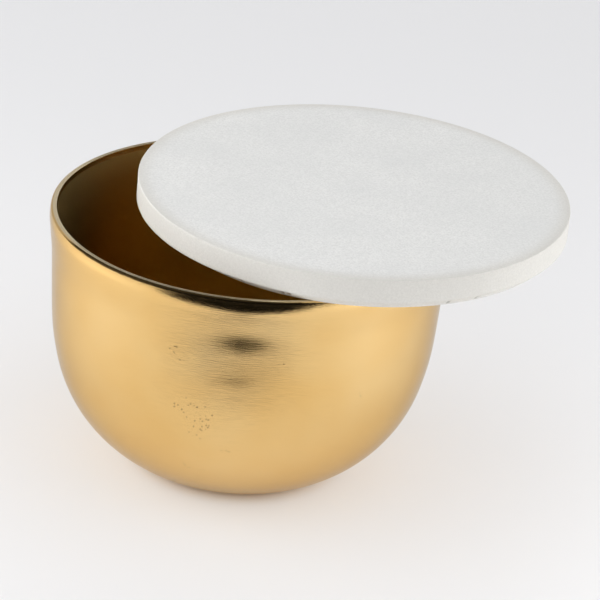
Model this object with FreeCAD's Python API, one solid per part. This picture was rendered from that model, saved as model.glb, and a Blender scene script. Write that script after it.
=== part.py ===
import FreeCAD, Part
import os
from math import cos, degrees, radians, sin, sqrt, tan

# A round metal storage bowl with a loose flat marble lid, in millimetres.
# The origin is the centre of the bowl's flat base, +Z is up and +X is the way the lid is slid aside.

# Driving dimensions of the bowl
rim_diameter = 120.0
bowl_height = 79.0
wall = 2.6
belly_radius = 44.5
foot_radius = 25.3
base_inset = 38.0

# The rolled lip at the bowl's mouth
lip_roll_radius = 4.0
lip_edge_radius = 0.9
mouth_edge_radius = 0.3

# Driving dimensions of the lid
lid_overhang = 4.0
lid_thickness = 9.4
lid_top_round = 1.6
lid_foot_chamfer = 1.8
lid_shift = 30.0

# Angles in degrees
wall_flare = 5.0
lip_roll_turn = 30.0


def point(radius, height):
    """A point of a half profile, in the plane of X and Z."""
    return FreeCAD.Vector(radius, 0, height)


def on_arc(centre, radius, angle):
    """The point of a circle at an angle, in degrees, above the outward direction."""
    return centre + point(radius * cos(radians(angle)), radius * sin(radians(angle)))


def turned(edges):
    """The solid that a closed half profile makes when it is turned about the Z axis."""
    face = Part.Face(Part.Wire(edges))
    return face.revolve(point(0, 0), FreeCAD.Vector(0, 0, 1), 360)


def line(start, end):
    return Part.LineSegment(start, end).toShape()


def arc(centre, radius, start, end):
    """The arc from one angle to another, through the angle half way between them."""
    middle = (start + end) / 2
    ends = [on_arc(centre, radius, angle) for angle in (start, middle, end)]
    return Part.Arc(*ends).toShape()


def make_bowl():
    """A flared wall, a round belly and a rounded foot, one even thickness all over."""
    slope = radians(wall_flare)
    turn = radians(lip_roll_turn)
    base_radius = rim_diameter / 2 - base_inset

    # The lip: a wide roll over the wall's top, then a small edge round up to the flat seat
    edge_height = bowl_height - lip_edge_radius
    roll_height = edge_height - (lip_roll_radius - lip_edge_radius) * sin(turn)
    roll_centre = point(rim_diameter / 2 - lip_roll_radius, roll_height)
    edge_centre = on_arc(roll_centre, lip_roll_radius - lip_edge_radius, lip_roll_turn)
    wall_top = on_arc(roll_centre, lip_roll_radius, -wall_flare)

    # The foot round touches the base plane at the edge of the flat
    foot_centre = point(base_radius, foot_radius)

    # The straight wall leans in by the flare, down to where the belly that leaves it meets the foot round
    along_wall = point(-sin(slope), -cos(slope))
    from_foot = on_arc(wall_top, -belly_radius, -wall_flare) - foot_centre
    drop = -from_foot.dot(along_wall)
    miss = from_foot.cross(along_wall).Length
    straight_length = drop - sqrt((belly_radius - foot_radius) ** 2 - miss ** 2)
    wall_foot = wall_top + along_wall * straight_length
    belly_centre = on_arc(wall_foot, -belly_radius, -wall_flare)
    across = foot_centre - belly_centre
    foot_turn = -degrees(across.getAngle(FreeCAD.Vector(1, 0, 0)))

    # The inside runs one wall in from the outside, about the same centres
    inner_top = bowl_height - mouth_edge_radius
    inner_foot = on_arc(belly_centre, belly_radius - wall, -wall_flare)
    inner_radius = inner_foot.x + (inner_top - inner_foot.z) * tan(slope)
    mouth_centre = point(inner_radius + mouth_edge_radius / cos(slope), inner_top)
    mouth_foot = on_arc(mouth_centre, -mouth_edge_radius, -wall_flare)
    down = -90
    up = 90
    return turned([
        line(point(0, 0), point(base_radius, 0)),
        arc(foot_centre, foot_radius, down, foot_turn),
        arc(belly_centre, belly_radius, foot_turn, -wall_flare),
        line(wall_foot, wall_top),
        arc(roll_centre, lip_roll_radius, -wall_flare, lip_roll_turn),
        arc(edge_centre, lip_edge_radius, lip_roll_turn, up),
        line(point(edge_centre.x, bowl_height), point(mouth_centre.x, bowl_height)),
        arc(mouth_centre, mouth_edge_radius, up, 2 * up - wall_flare),
        line(mouth_foot, inner_foot),
        arc(belly_centre, belly_radius - wall, -wall_flare, foot_turn),
        arc(foot_centre, foot_radius - wall, foot_turn, down),
        line(point(base_radius, wall), point(0, wall)),
        line(point(0, wall), point(0, 0)),
    ])


def make_lid():
    """A flat disc that lies on the rim, slid aside, with a rounded top edge and a bevelled foot."""
    radius = rim_diameter / 2 + lid_overhang
    underside = bowl_height
    top = underside + lid_thickness
    round_centre = point(radius - lid_top_round, top - lid_top_round)
    disc = turned([
        line(point(0, underside), point(radius - lid_foot_chamfer, underside)),
        line(point(radius - lid_foot_chamfer, underside), point(radius, underside + lid_foot_chamfer)),
        line(point(radius, underside + lid_foot_chamfer), point(radius, round_centre.z)),
        arc(round_centre, lid_top_round, 0, 90),
        line(point(round_centre.x, top), point(0, top)),
        line(point(0, top), point(0, underside)),
    ])
    disc.translate(FreeCAD.Vector(lid_shift, 0, 0))
    return disc


os.makedirs("parts", exist_ok=True)
for name, shape in (("bowl", make_bowl()), ("lid", make_lid())):
    shape.exportStep("parts/" + name + ".step")
    box = shape.optimalBoundingBox()
    print(name, shape.ShapeType, shape.isValid(), round(shape.Volume), "mm3",
          round(box.XLength, 2), round(box.YLength, 2), round(box.ZLength, 2))
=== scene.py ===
import bpy
import numpy as np
from mathutils import Matrix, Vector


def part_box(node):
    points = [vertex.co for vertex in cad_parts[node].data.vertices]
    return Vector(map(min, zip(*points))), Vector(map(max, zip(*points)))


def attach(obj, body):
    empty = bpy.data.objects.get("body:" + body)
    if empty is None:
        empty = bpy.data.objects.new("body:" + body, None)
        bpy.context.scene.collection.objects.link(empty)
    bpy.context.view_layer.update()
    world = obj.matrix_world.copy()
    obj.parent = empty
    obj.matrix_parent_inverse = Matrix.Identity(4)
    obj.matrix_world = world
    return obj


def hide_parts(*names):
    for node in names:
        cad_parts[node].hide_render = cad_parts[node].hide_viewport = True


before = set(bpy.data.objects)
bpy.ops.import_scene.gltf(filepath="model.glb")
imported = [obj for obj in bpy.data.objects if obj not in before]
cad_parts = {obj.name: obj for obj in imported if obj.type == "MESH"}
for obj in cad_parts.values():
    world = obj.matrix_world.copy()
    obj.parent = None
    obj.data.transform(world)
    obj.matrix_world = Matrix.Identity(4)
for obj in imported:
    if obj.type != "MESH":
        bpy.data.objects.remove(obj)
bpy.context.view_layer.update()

# A satin gold bowl with a loose white marble lid, slid aside on its rim, in metres in the frame of the solids.

bowl_low, bowl_high = (np.array(corner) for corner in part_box("bowl"))
lid_low, lid_high = (np.array(corner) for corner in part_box("lid"))
MM = 0.001
SMOOTH = "SMOOTHSTEP"


# Nodes

def linear(colour):
    """The linear colour, with alpha 1, of an sRGB hex value."""
    share = np.array([int(colour[i:i + 2], 16) for i in (1, 3, 5)]) / 255
    low = share / 12.92
    high = ((share + 0.055) / 1.055) ** 2.4
    return (*np.where(share <= 0.04045, low, high), 1.0)


def add(tree, kind, inputs=(), **settings):
    """Adds one node, sets its settings, and gives its sockets a value or the link of another node's socket."""
    made = tree.nodes.new("ShaderNode" + kind)
    for name, value in settings.items():
        setattr(made, name, value)
    for name, value in dict(inputs).items():
        if isinstance(value, bpy.types.NodeSocket):
            tree.links.new(value, made.inputs[name])
        else:
            made.inputs[name].default_value = value
    return made


def maths(tree, operation, *values):
    """The result of one operation on numbers or sockets."""
    return add(tree, "Math", enumerate(values), operation=operation).outputs[0]


def spread(tree, value, start, end, low=0.0, high=1.0, kind="LINEAR"):
    """A value carried over from start and end to low and high, and held beyond them."""
    ends = {"Value": value, "From Min": start, "From Max": end, "To Min": low, "To Max": high}
    return add(tree, "MapRange", ends, interpolation_type=kind).outputs[0]


def blend(tree, share, first, second, kind="RGBA"):
    """Two colours or two numbers mixed by a share, which is 0 for the first."""
    return add(tree, "Mix", {"Factor": share, "A": first, "B": second}, data_type=kind).outputs["Result"]


def attribute(tree, name, output="Fac"):
    """The socket of a mesh attribute."""
    return add(tree, "Attribute", attribute_name=name).outputs[output]


def new_material(name, constants):
    """A node material, its tree and its shader, with constants set on the shader's own sockets."""
    made = bpy.data.materials.new(name)
    made.use_nodes = True
    tree = made.node_tree
    tree.nodes.clear()
    shader = add(tree, "BsdfPrincipled", constants)
    add(tree, "OutputMaterial", {"Surface": shader.outputs["BSDF"]})
    return made, tree, shader


# Objects

def placed(name, data):
    """A new object of the scene with the given data."""
    made = bpy.data.objects.new(name, data)
    bpy.context.scene.collection.objects.link(made)
    return made


def unit(vector):
    return vector / np.linalg.norm(vector)


def frame_at(axes, spot):
    """The matrix of a frame with the given axes, as columns, at a spot."""
    matrix = np.eye(4)
    matrix[:3, :3] = axes
    matrix[:3, 3] = spot
    return Matrix(matrix.tolist())


# The surfaces

def arc(centre, radius, start, end, count):
    """Points of a circle from one angle to another, in degrees above the outward direction."""
    angle = np.radians(np.linspace(start, end, count))
    return np.stack([centre[0] + radius * np.cos(angle), centre[1] + radius * np.sin(angle)], axis=-1)


def run(start, end, count):
    """Evenly spaced points of a straight line."""
    return np.linspace(start, end, count)


def joined(*pieces):
    """One profile from its pieces, without the points that two pieces share."""
    points = np.concatenate(pieces)
    step = np.linalg.norm(np.diff(points, axis=0), axis=1)
    return points[np.concatenate([[True], step > 1e-6])]


def full_turn(count):
    """Evenly spaced angles once round the axis, in radians."""
    return np.arange(count) * 2 * np.pi / count


def turned_piece(name, radius, height, centre, material, **shares):
    """A profile turned about an upright axis through centre: each point is
    (radius cos a, radius sin a, height), for radius and height given on a grid of profile points
    by angles. The first and last points lie on the axis and become single pole points.
    The attribute "turned" holds (cos a, sin a) times the widest radius, and the length along the profile.
    Each named grid of shares becomes an attribute of its own, with a value for every point."""
    rings, around = radius.shape
    angle = full_turn(around)
    place = np.stack([radius * np.cos(angle) + centre[0], radius * np.sin(angle) + centre[1], height], axis=-1)
    steps = np.hypot(np.diff(radius[:, 0]), np.diff(height[:, 0]))
    length = np.concatenate([[0], np.cumsum(steps)])
    widest = radius.max()
    follow = np.stack(np.broadcast_arrays(widest * np.cos(angle), widest * np.sin(angle), length[:, None]), axis=-1)
    keep = slice(1, rings - 1)
    points = np.concatenate([place[:1, 0], place[keep].reshape(-1, 3), place[-1:, 0]])
    follow = np.concatenate([follow[:1, 0], follow[keep].reshape(-1, 3), follow[-1:, 0]])

    # Four-sided faces between the rings, and a fan of triangles at each pole
    ring = np.arange(rings - 2)[:, None] * around + 1
    here = np.arange(around)
    there = (here + 1) % around
    low, high = ring[:-1], ring[1:]
    quads = np.stack([low + here, low + there, high + there, high + here], axis=-1).reshape(-1, 4)
    last = len(points) - 1
    first_fan = np.stack([np.zeros(around, int), 1 + there, 1 + here], axis=-1)
    last_fan = np.stack([np.full(around, last), ring[-1] + here, ring[-1] + there], axis=-1)
    mesh = bpy.data.meshes.new(name)
    mesh.from_pydata(points.tolist(), [], quads.tolist() + first_fan.tolist() + last_fan.tolist())
    mesh.attributes.new("turned", "FLOAT_VECTOR", "POINT").data.foreach_set("vector", follow.ravel())
    for label, share in shares.items():
        share = np.broadcast_to(share, radius.shape)
        values = np.concatenate([share[:1, 0], share[keep].ravel(), share[-1:, 0]])
        mesh.attributes.new(label, "FLOAT", "POINT").data.foreach_set("value", values)
    mesh.polygons.foreach_set("use_smooth", np.ones(len(mesh.polygons), bool))
    mesh.update()
    mesh.materials.append(material)
    return placed(name, mesh)


# The bowl's spun wall, in millimetres: the flare changes a little with height, as the roller left it
rim_height = bowl_high[2] / MM
base_radius = 22.0
foot_radius = 25.3
belly_centre = (12.312, 41.876)
belly_radius = 44.5
foot_turn = -59.695
belly_turn = -14.1
flare_heights = (31.0, 38.0, 43.0, 47.0, 55.0, 62.0, 65.0, 68.0, 74.0)
flare_angles = (14.1, 9.7, 5.2, 3.4, 2.7, 2.6, 3.6, 6.8, 7.0)
lip_roll_radius = 10.0
lip_edge_radius = 1.0
lip_turn = 12.0
mouth_radius = 57.95
mouth_edge_radius = 0.25
wall_thickness = 2.6
inner_wall_turn = -5.0
mouth_edge_turn = 175.0
rim_groove_radius = 58.62
rim_groove_width = 0.11
rim_groove_depth = 0.08
bowl_points_around = 360

# Two shallow flats that the roller left in the wall:
# height, turn about the axis in degrees, tilt in degrees, half height, half width
wall_flats = ((65.0, -99.5, 6.2, 3.0, 4.8), (52.5, -102.0, 2.2, 2.0, 4.0))

# Groups of small pits in the wall: height, turn about the axis in degrees, half height, half width
pit_groups = ((59.7, -118.8, 1.9, 1.5), (42.0, -115.5, 1.8, 2.2), (37.5, -110.0, 3.8, 3.0), (29.0, -103.0, 1.0, 2.2),
              (19.3, -113.3, 1.0, 2.0), (46.4, -62.7, 1.2, 1.2), (59.0, -88.0, 1.0, 1.2), (33.0, -45.0, 1.6, 1.2),
              (50.0, 20.0, 2.0, 2.4), (35.0, 80.0, 2.6, 2.0), (24.0, 150.0, 1.6, 2.0), (57.0, 190.0, 1.8, 1.4))


def degrees_aside(angle, turn):
    """How far each angle lies from a turn, in degrees from -180 to 180."""
    return (angle - turn + 180) % 360 - 180


def bell(radius, height, angle, level, turn, half_height, half_width):
    """The bell of rise above a level and of arc length aside of a turn, 1 at its middle."""
    aside = np.radians(degrees_aside(angle, turn)) * radius
    return np.exp(-((height - level) / half_height) ** 2 / 2 - (aside / half_width) ** 2 / 2)


def bowl_profile():
    """The half section from the middle of the base, up the outside, over the lip and down to the inner floor,
    and for each of its points 1 if it is inside the bowl."""
    base = run((0, 0), (base_radius, 0), 14)
    foot = arc((base_radius, foot_radius), foot_radius, -90, foot_turn, 16)
    belly = arc(belly_centre, belly_radius, foot_turn, belly_turn, 30)

    # The wall's radius is the flare's slope added up from the foot of the wall
    roll_rise = np.sin(np.radians(lip_turn)) + np.sin(np.radians(flare_angles[-1]))
    wall_top = rim_height - lip_edge_radius * (1 - np.sin(np.radians(lip_turn))) - lip_roll_radius * roll_rise
    height = np.linspace(belly[-1, 1], wall_top, 76)
    slope = np.tan(np.radians(np.interp(height, flare_heights, flare_angles)))
    out = np.concatenate([[0], np.cumsum((slope[1:] + slope[:-1]) / 2 * np.diff(height))])
    wall = np.stack([belly[-1, 0] + out, height], axis=-1)

    # The lip rolls inward, then turns over a small edge to the flat seat
    flare = np.radians(flare_angles[-1])
    roll_centre = wall[-1] - lip_roll_radius * np.array([np.cos(flare), -np.sin(flare)])
    roll = arc(roll_centre, lip_roll_radius, -flare_angles[-1], lip_turn, 22)
    turn = np.radians(lip_turn)
    edge_centre = roll_centre + (lip_roll_radius - lip_edge_radius) * np.array([np.cos(turn), np.sin(turn)])
    edge = arc(edge_centre, lip_edge_radius, lip_turn, 90, 18)
    mouth_centre = (mouth_radius + mouth_edge_radius, rim_height - mouth_edge_radius)
    seat = run(edge[-1], (mouth_centre[0], rim_height), 22)
    mouth = arc(mouth_centre, mouth_edge_radius, 90, mouth_edge_turn, 8)

    # The inside runs one wall in, about the same centres
    inner_foot = arc(belly_centre, belly_radius - wall_thickness, inner_wall_turn, foot_turn, 26)
    inner_wall = run(mouth[-1], inner_foot[0], 22)
    heel = arc((base_radius, foot_radius), foot_radius - wall_thickness, foot_turn, -90, 14)
    floor = run(heel[-1], (0, heel[-1, 1]), 12)
    outside = joined(base, foot, belly, wall, roll, edge, seat, mouth)
    inner = joined(mouth[-1:], inner_wall, inner_foot, heel, floor)[1:]
    return np.concatenate([outside, inner]), np.repeat([0.0, 1.0], [len(outside), len(inner)])


def make_bowl(material):
    """The bowl's profile turned about its axis, with a fine groove cut into the seat of the lip. At each flat
    the radius shrinks with the height above it, times a bell of height and turn, so the wall leans back there."""
    profile, inside = bowl_profile()
    top = profile[:, 1] > rim_height - 2 * mouth_edge_radius
    groove = rim_groove_depth * np.exp(-((profile[:, 0] - rim_groove_radius) / rim_groove_width) ** 2)
    profile[:, 1] -= np.where(top, groove, 0)
    angle = np.degrees(full_turn(bowl_points_around))
    radius = np.repeat(profile[:, :1], bowl_points_around, axis=1)
    height = np.repeat(profile[:, 1:], bowl_points_around, axis=1)
    outside = 1 - inside[:, None]
    for level, turn, tilt, half_height, half_width in wall_flats:
        fade = bell(radius, height, angle, level, turn, half_height, half_width)
        radius -= np.tan(np.radians(tilt)) * (height - level) * fade * outside
    pitted = sum(bell(radius, height, angle, *group) for group in pit_groups) * outside
    return turned_piece("spun_bowl", radius * MM, height * MM, (0, 0), material, inside=inside[:, None], pitted=pitted)


# The marble disc, in millimetres
lid_radius = (lid_high[0] - lid_low[0]) / 2 / MM + 0.4
lid_centre = (lid_low + lid_high) / 2
lid_top_round = 0.35
lid_bevel = 2.2
lid_border_width = 3.0
lid_points_around = 900

# The saw's marks on the lower edge: a slow wave, and chips with their least and greatest depth and half width
lid_wave_depth = 0.25
lid_chips = 60
lid_chip_depths = (0.1, 0.7)
lid_chip_widths = (0.3, 0.9)
lid_marks_reach = 0.9
lid_marks_limits = (-0.15, 0.9)
# The chip depths over which the chips grow darker
lid_soiled_depths = (0.3, 0.7)

# The lower edge is ground back at one place: turn about the lid's axis and half width in degrees, depth
lid_worn_turn = -145.0
lid_worn_half_turn = 14.0
lid_worn_depth = 1.4


def make_lid(material):
    """A disc's half section, from the middle of its underside over the bevel, the side and the rounded
    top edge to the middle of its top, turned about the lid's own axis. The bevel is drawn in by a slow wave
    and by bells at seeded turns, the chips of the saw cut, and the side by a far smaller share.
    A wide bell draws in the underside's edge where it is ground back."""
    under = lid_low[2] / MM
    top = lid_high[2] / MM
    bevel_foot = lid_radius - lid_bevel
    round_centre = (lid_radius - lid_top_round, top - lid_top_round)
    flat = run((0, under), (bevel_foot, under), 20)
    bevel = run((bevel_foot, under), (lid_radius, under + lid_bevel), 9)
    side = run((lid_radius, under + lid_bevel), (lid_radius, round_centre[1]), 14)
    crown = arc(round_centre, lid_top_round, 0, 90, 12)
    face = run((round_centre[0], top), (0, top), 36)
    profile = joined(flat, bevel, side, crown, face)

    # The marks of the saw, once round the lid, and how much each point of the profile takes of them
    angle = full_turn(lid_points_around)
    seeded = np.random.default_rng(7)
    waves = np.arange(3, 90, 7)[:, None]
    phase = seeded.uniform(0, 2 * np.pi, len(waves))[:, None]
    wave = (lid_wave_depth / np.sqrt(waves) * np.sin(waves * angle + phase)).sum(axis=0)
    turn = seeded.uniform(0, 2 * np.pi, lid_chips)[:, None]
    depth = seeded.uniform(*lid_chip_depths, lid_chips)[:, None]
    width = seeded.uniform(*lid_chip_widths, lid_chips)[:, None] / lid_radius
    apart = (angle - turn + np.pi) % (2 * np.pi) - np.pi
    chip = (depth * np.exp(-(apart / width) ** 2)).sum(axis=0)
    from_bevel = np.hypot(profile[:, 0] - lid_radius + lid_bevel / 2, profile[:, 1] - under - lid_bevel / 2)
    near = np.exp(-(from_bevel / lid_marks_reach) ** 2)[:, None]
    marks = near * np.clip(chip + wave, *lid_marks_limits)

    # The ground back place takes most at the underside's edge and nothing at the side
    aside = degrees_aside(np.degrees(angle), lid_worn_turn)
    worn = lid_worn_depth * np.exp(-(aside / lid_worn_half_turn) ** 2 / 2)
    past_flat = profile[:, 0] > bevel_foot - 0.01
    low = np.clip(1 - (profile[:, 1] - under) / lid_bevel, 0, 1) * past_flat
    radius = profile[:, :1] - marks - low[:, None] * worn
    height = np.repeat(profile[:, 1:], lid_points_around, axis=1)
    # The border share, greatest at the side, carries the painted shade of the lid's side
    border = np.exp(-((lid_radius - profile[:, 0]) / lid_border_width) ** 2)[:, None]
    # A share that grows from the shallow to the deep chips and makes them darker
    shallow, deep = lid_soiled_depths
    soiled = near * np.clip((chip - shallow) / (deep - shallow), 0, 1)
    return turned_piece("marble_disc", radius * MM, height * MM, lid_centre, material, border=border, soiled=soiled)


# The finishes

def satin_brass():
    """Lacquered brass, spun and then brushed round and round: a warm metal with soft broad reflections, a
    fine level grain that breaks their edges into streaks, and a few groups of small pits."""
    made, tree, shader = new_material("spun_satin_brass", {
        "Metallic": 1.0, "Specular Tint": linear("#D6D2CA"), "Anisotropic": 0.87, "Anisotropic Rotation": 0.25,
        "Coat Weight": 0.35, "Coat Roughness": 0.25})
    turned = attribute(tree, "turned", "Vector")
    inside = attribute(tree, "inside")
    place = add(tree, "TexCoord").outputs["Object"]
    height = add(tree, "SeparateXYZ", {0: place}).outputs["Z"]

    # The brush ran level round the bowl, so reflections spread up and down
    level = add(tree, "Tangent", direction_type="RADIAL", axis="Z").outputs[0]
    tree.links.new(level, shader.inputs["Tangent"])

    # Brush lines about 4 mm long and 0.35 mm wide, coarser than the real ones so that they show
    lines = add(tree, "Mapping", {"Vector": turned, "Scale": (1 / 4 / MM, 1 / 4 / MM, 1 / 0.35 / MM)}).outputs[0]
    grain = add(tree, "TexNoise", {"Vector": lines, "Scale": 1.0, "Detail": 3.0, "Roughness": 0.6}).outputs["Fac"]

    # Pits about 0.4 mm across in cells of 1.1 mm, in more of the cells toward the middle of a group
    cells = add(tree, "TexVoronoi", {"Vector": turned, "Scale": 1 / 1.1 / MM})
    hole = spread(tree, cells.outputs["Distance"], 0.15, 0.33, low=1.0, high=0.0)
    pick = add(tree, "SeparateColor", {0: cells.outputs["Color"]}).outputs[0]
    chance = maths(tree, "SUBTRACT", attribute(tree, "pitted"), pick)
    pit = maths(tree, "MULTIPLY", hole, spread(tree, chance, 0.0, 0.2))
    relief = maths(tree, "MULTIPLY_ADD", pit, -1.5, grain)
    bump = add(tree, "Bump", {"Height": relief, "Strength": 1.0, "Distance": 0.044 * MM}).outputs[0]
    tree.links.new(bump, shader.inputs["Normal"])

    # Slow changes of tone, about 30 mm across, dull brown in the pits, and a yellower inside, left as it was spun
    cloud = add(tree, "TexNoise", {"Vector": place, "Scale": 1 / 30 / MM, "Detail": 2.0}).outputs["Fac"]
    tone = blend(tree, cloud, linear("#F5D497"), linear("#EABA69"))
    pitted = blend(tree, maths(tree, "MULTIPLY", pit, 0.38), tone, linear("#7A5C2E"))
    both = blend(tree, inside, pitted, linear("#F4D383"))

    # The seat of the lip is rubbed bare by the lid
    seat = spread(tree, height, (rim_height - 0.16) * MM, (rim_height - 0.03) * MM)
    bare = blend(tree, seat, both, linear("#EAD9B4"))
    tree.links.new(bare, shader.inputs["Base Color"])

    # The lip is burnished outside, so it mirrors more sharply there, and the inside is duller
    rough = spread(tree, grain, 0.3, 0.7, low=0.17, high=0.25)
    lip = spread(tree, height, (rim_height - 6) * MM, (rim_height - 4) * MM)
    gloss = blend(tree, lip, rough, 0.12, "FLOAT")
    rough_both = blend(tree, inside, gloss, 0.34, "FLOAT")
    tree.links.new(rough_both, shader.inputs["Roughness"])
    return made


def white_marble():
    """Fine crystalline white marble, sawn and honed: almost white, with a sugary grain and very faint clouds,
    darker and warmer toward the border as a painted shade on its side, and darker in the deeper chips."""
    made, tree, shader = new_material("honed_white_marble", {"Specular IOR Level": 0.15})
    place = add(tree, "TexCoord").outputs["Object"]

    # Crystals about 0.6 mm across, coarser than the real ones so that they show
    crystal = add(tree, "TexNoise", {"Vector": place, "Scale": 1 / 0.6 / MM, "Detail": 2.0,
                                     "Roughness": 0.7}).outputs["Fac"]
    grain = blend(tree, spread(tree, crystal, 0.3, 0.7), linear("#E2E2DF"), linear("#F7F7F4"))

    # Faint clouds about 24 mm across
    cloud = add(tree, "TexNoise", {"Vector": place, "Scale": 1 / 24 / MM, "Detail": 3.0}).outputs["Fac"]
    tone = blend(tree, spread(tree, cloud, 0.35, 0.7, high=0.4), grain, linear("#E0E1DF"))
    # Painted shade: the border, most of all the side, is blended toward a darker warm grey
    side_shade = blend(tree, maths(tree, "MULTIPLY", attribute(tree, "border"), 0.55), tone, linear("#D5D1C7"))

    # The deeper chips of the lower edge are darker
    chips_darkened = blend(tree, attribute(tree, "soiled"), side_shade, linear("#6B665C"))
    tree.links.new(chips_darkened, shader.inputs["Base Color"])
    tree.links.new(spread(tree, crystal, 0.0, 1.0, low=0.66, high=0.5), shader.inputs["Roughness"])
    bump = add(tree, "Bump", {"Height": crystal, "Strength": 0.6, "Distance": 0.04 * MM}).outputs[0]
    tree.links.new(bump, shader.inputs["Normal"])
    return made


bowl = make_bowl(satin_brass())
lid = make_lid(white_marble())
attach(bowl, "bowl")
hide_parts("bowl")
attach(lid, "lid")
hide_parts("lid")


# The camera, fitted to the outlines of the bowl's mouth, its wall and the lid in a 600 pixel square

picture_size = 600
focal_pixels = 3000.0
sensor_width = 36.0
camera_distance = 0.8906
camera_elevation = np.radians(23.94)
camera_roll = np.radians(4.95)
camera_azimuth = np.radians(-10.47)
mouth_pixel = (252.7, 214.2)


def place_camera():
    """Turns the camera so that the middle of the bowl's mouth falls on its pixel, seen from the given
    elevation and azimuth, with the bowl's axis leaning right by the roll."""
    half = picture_size / 2
    sight = unit(np.array([(mouth_pixel[0] - half) / focal_pixels, (mouth_pixel[1] - half) / focal_pixels, 1.0]))
    upright = np.array([0.0, -1.0, 0.0])
    upright = unit(upright - sight * upright.dot(sight))
    across = np.cross(-upright, sight)
    leaning = np.cos(camera_roll) * upright + np.sin(camera_roll) * across
    up = np.cos(camera_elevation) * leaning - np.sin(camera_elevation) * sight
    right = unit(np.cross(up, sight))
    right = right if right[0] > 0 else -right
    away = np.cross(up, right)
    away = away if away.dot(sight) > 0 else -away
    x_axis = np.cos(camera_azimuth) * right - np.sin(camera_azimuth) * away
    y_axis = np.cross(up, x_axis)
    turn = np.stack([x_axis, y_axis, up], axis=1)
    spot = np.array([0, 0, bowl_high[2]]) - turn.T @ (sight * camera_distance)
    lens = bpy.data.cameras.new("camera")
    lens.sensor_width = sensor_width
    lens.lens = sensor_width * focal_pixels / picture_size
    lens.clip_start = 0.01
    camera = placed("camera", lens)
    camera.matrix_world = frame_at(turn.T @ np.diag([1.0, -1.0, -1.0]), spot)
    bpy.context.scene.camera = camera


place_camera()


# The studio

def around(turn, distance, height):
    """A place round the bowl, by its turn in degrees to the right of the camera."""
    angle = camera_azimuth + np.radians(turn)
    return np.array([np.sin(angle) * distance, -np.cos(angle) * distance, height])


to_right = unit(around(90, 1.0, 0))
to_front = unit(around(0, 1.0, 0))


def flat_sheet(name, corners, material):
    """A flat stage sheet with the given corners."""
    mesh = bpy.data.meshes.new(name)
    mesh.from_pydata(np.array(corners).tolist(), [], [list(range(len(corners)))])
    mesh.materials.append(material)
    sheet = placed(name, mesh)
    return sheet


def softbox(name, turn, distance, height, size, watts, aim=(0, 0, 0.04)):
    """An area lamp round the bowl that faces it, or the place given, and that metal does not mirror."""
    lamp = bpy.data.lights.new(name, "AREA")
    lamp.shape = "RECTANGLE"
    lamp.size, lamp.size_y = size
    lamp.energy = watts
    spot = around(turn, distance, height)
    back = unit(spot - np.array(aim))
    side = unit(np.cross((0, 0, 1), back))
    made = placed(name, lamp)
    made.matrix_world = frame_at(np.stack([side, np.cross(back, side), back], axis=1), spot)
    made.visible_glossy = False


def matt(name, colour):
    """A plain matt material for the stage."""
    return new_material(name, {"Base Color": linear(colour), "Roughness": 1.0, "Specular IOR Level": 0.05})[0]


# The floor's even tone starts where the bowl's foot lifts off it, and grows to its full share
even_start = 27.5 * MM
even_end = 37 * MM
even_share = 0.42


def pale_floor():
    """White paper. Where the camera or the metal sees it, part of it is an even pale tone, so that its shadows
    stay light without more light on the object. Under the foot the tone fades, so the contact stays dark."""
    made = matt("matt_paper", "#EDEDEE")
    tree = made.node_tree
    surface = tree.get_output_node("ALL").inputs["Surface"]
    paper = surface.links[0].from_socket
    ray = add(tree, "LightPath").outputs
    seen = maths(tree, "MAXIMUM", ray["Is Camera Ray"], ray["Is Glossy Ray"])
    seen = maths(tree, "MAXIMUM", seen, ray["Is Transmission Ray"])
    place = add(tree, "TexCoord").outputs["Object"]
    away = add(tree, "VectorMath", {0: place}, operation="LENGTH").outputs["Value"]
    share = maths(tree, "MULTIPLY", seen, spread(tree, away, even_start, even_end, high=even_share, kind=SMOOTH))
    even = add(tree, "Emission", {"Color": linear("#EEEEEF"), "Strength": 1.0}).outputs[0]
    both = add(tree, "MixShader", {0: share, 1: paper, 2: even}).outputs[0]
    tree.links.new(both, surface)
    return made


reach = 4.0
floor_height = -0.00005
flat_sheet("floor", [(-reach, -reach, floor_height), (reach, -reach, floor_height),
                     (reach, reach, floor_height), (-reach, reach, floor_height)], pale_floor())

backdrop_distance = 1.6
backdrop_half_width = 2.5
backdrop_height = 1.6
back_middle = around(180, backdrop_distance, floor_height)
back_side = to_right * backdrop_half_width
back_rise = np.array([0, 0, backdrop_height])
back_corners = [back_middle - back_side, back_middle + back_side,
                back_middle + back_side + back_rise, back_middle - back_side + back_rise]
flat_sheet("backdrop", back_corners, matt("white_backdrop", "#F6F6F7"))

# A black cloth before the bowl, which only metal shows: its corners, to the right and to the front
cloth_edge = ((-0.46, 0.40), (-0.16, 0.215), (0.00, 0.150), (0.08, 0.195), (0.23, 0.34), (0.70, 0.75),
              (2.5, 3.9), (-2.5, 3.9))
cloth_height = 0.0005
cloth_corners = [around(90, right, cloth_height) + around(0, front, 0) for right, front in cloth_edge]
cloth = flat_sheet("black_cloth", cloth_corners, matt("black_felt", "#0B0A09"))
cloth.visible_camera = False
cloth.visible_diffuse = False
cloth.visible_shadow = False
cloth.visible_transmission = False

# Large lamps at both sides and a weak one in front, and two small ones over the floor just outside the picture,
# whose light on the floor the wall mirrors as its two highlights
softbox("softbox_left", -80, 0.85, 0.38, (1.4, 0.7), 5.2)
softbox("softbox_right", 80, 0.85, 0.6, (1.4, 1.05), 3.85)
softbox("softbox_front", 0, 0.8, 0.8, (0.6, 0.5), 0.5)
softbox("strip_left", -84, 0.29, 0.15, (0.26, 0.15), 0.39, around(-84, 0.28, 0))
softbox("strip_right", 78, 0.29, 0.15, (0.26, 0.15), 0.5, around(78, 0.33, 0))


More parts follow.
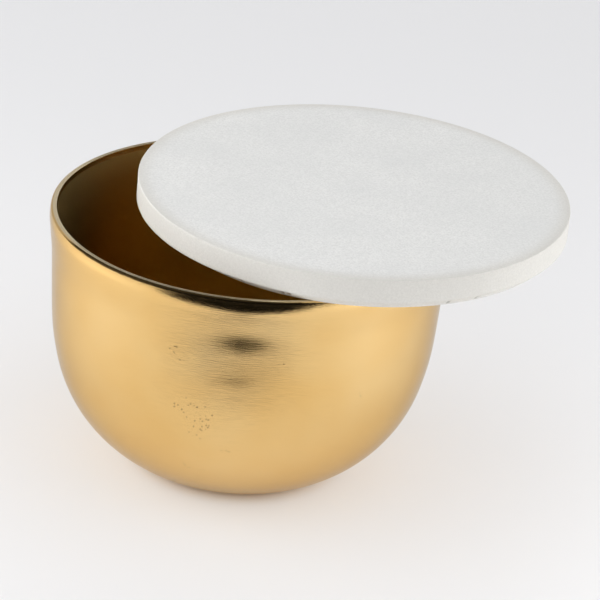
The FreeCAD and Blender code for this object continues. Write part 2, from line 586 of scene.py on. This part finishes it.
def studio_world():
    """The room that metal mirrors, the tent that lights paper and marble, and the pale tone that the camera sees."""
    world = bpy.data.worlds.new("studio")
    world.use_nodes = True
    tree = world.node_tree
    tree.nodes.clear()
    ray = add(tree, "LightPath").outputs
    way = add(tree, "TexCoord").outputs["Generated"]
    rise = add(tree, "SeparateXYZ", {0: way}).outputs["Z"]
    right = add(tree, "VectorMath", {0: way, 1: tuple(to_right)}, operation="DOT_PRODUCT").outputs["Value"]
    front = add(tree, "VectorMath", {0: way, 1: tuple(to_front)}, operation="DOT_PRODUCT").outputs["Value"]
    aside = maths(tree, "ABSOLUTE", right)

    # The room: walls, paler at the sides, with a dark ceiling and a dark front
    walls = spread(tree, aside, 0.55, 0.95, low=0.6, high=1.05, kind=SMOOTH)
    ceiling = spread(tree, rise, -0.02, 0.14, low=1.0, high=0.08, kind=SMOOTH)
    dark_front = spread(tree, front, 0.3, 0.7, low=1.0, high=0.1, kind=SMOOTH)
    room_light = maths(tree, "MULTIPLY", walls, maths(tree, "MULTIPLY", ceiling, dark_front))
    room = add(tree, "Background", {"Color": linear("#F4F4F6"), "Strength": room_light}).outputs[0]

    # The tent: even, brighter low at the sides, dimmed in front by the person at the camera.
    # Low panels are added in what metal throws on the floor, for its warm glow there
    low_sides = spread(tree, rise, 0.0, 0.35, low=1.4, high=0.0)
    sides = maths(tree, "MULTIPLY_ADD", low_sides, aside, 0.69)
    panels = spread(tree, rise, 0.0, 0.45, low=5.0, high=0.0)
    lamps = maths(tree, "MULTIPLY_ADD", ray["Is Glossy Ray"], panels, sides)
    person = spread(tree, front, 0.2, 0.9, low=1.0, high=0.5)
    tent_light = maths(tree, "MULTIPLY", lamps, person)
    tent = add(tree, "Background", {"Color": linear("#F4F4F6"), "Strength": tent_light}).outputs[0]

    pale = add(tree, "Background", {"Color": linear("#E6E6E8"), "Strength": 1.0}).outputs[0]
    lit = add(tree, "MixShader", {0: ray["Diffuse Depth"], 1: room, 2: tent}).outputs[0]
    shown = add(tree, "MixShader", {0: ray["Is Camera Ray"], 1: lit, 2: pale}).outputs[0]
    add(tree, "OutputWorld", {"Surface": shown})
    return world


bpy.context.scene.world = studio_world()
bpy.context.scene.view_settings.view_transform = "Standard"
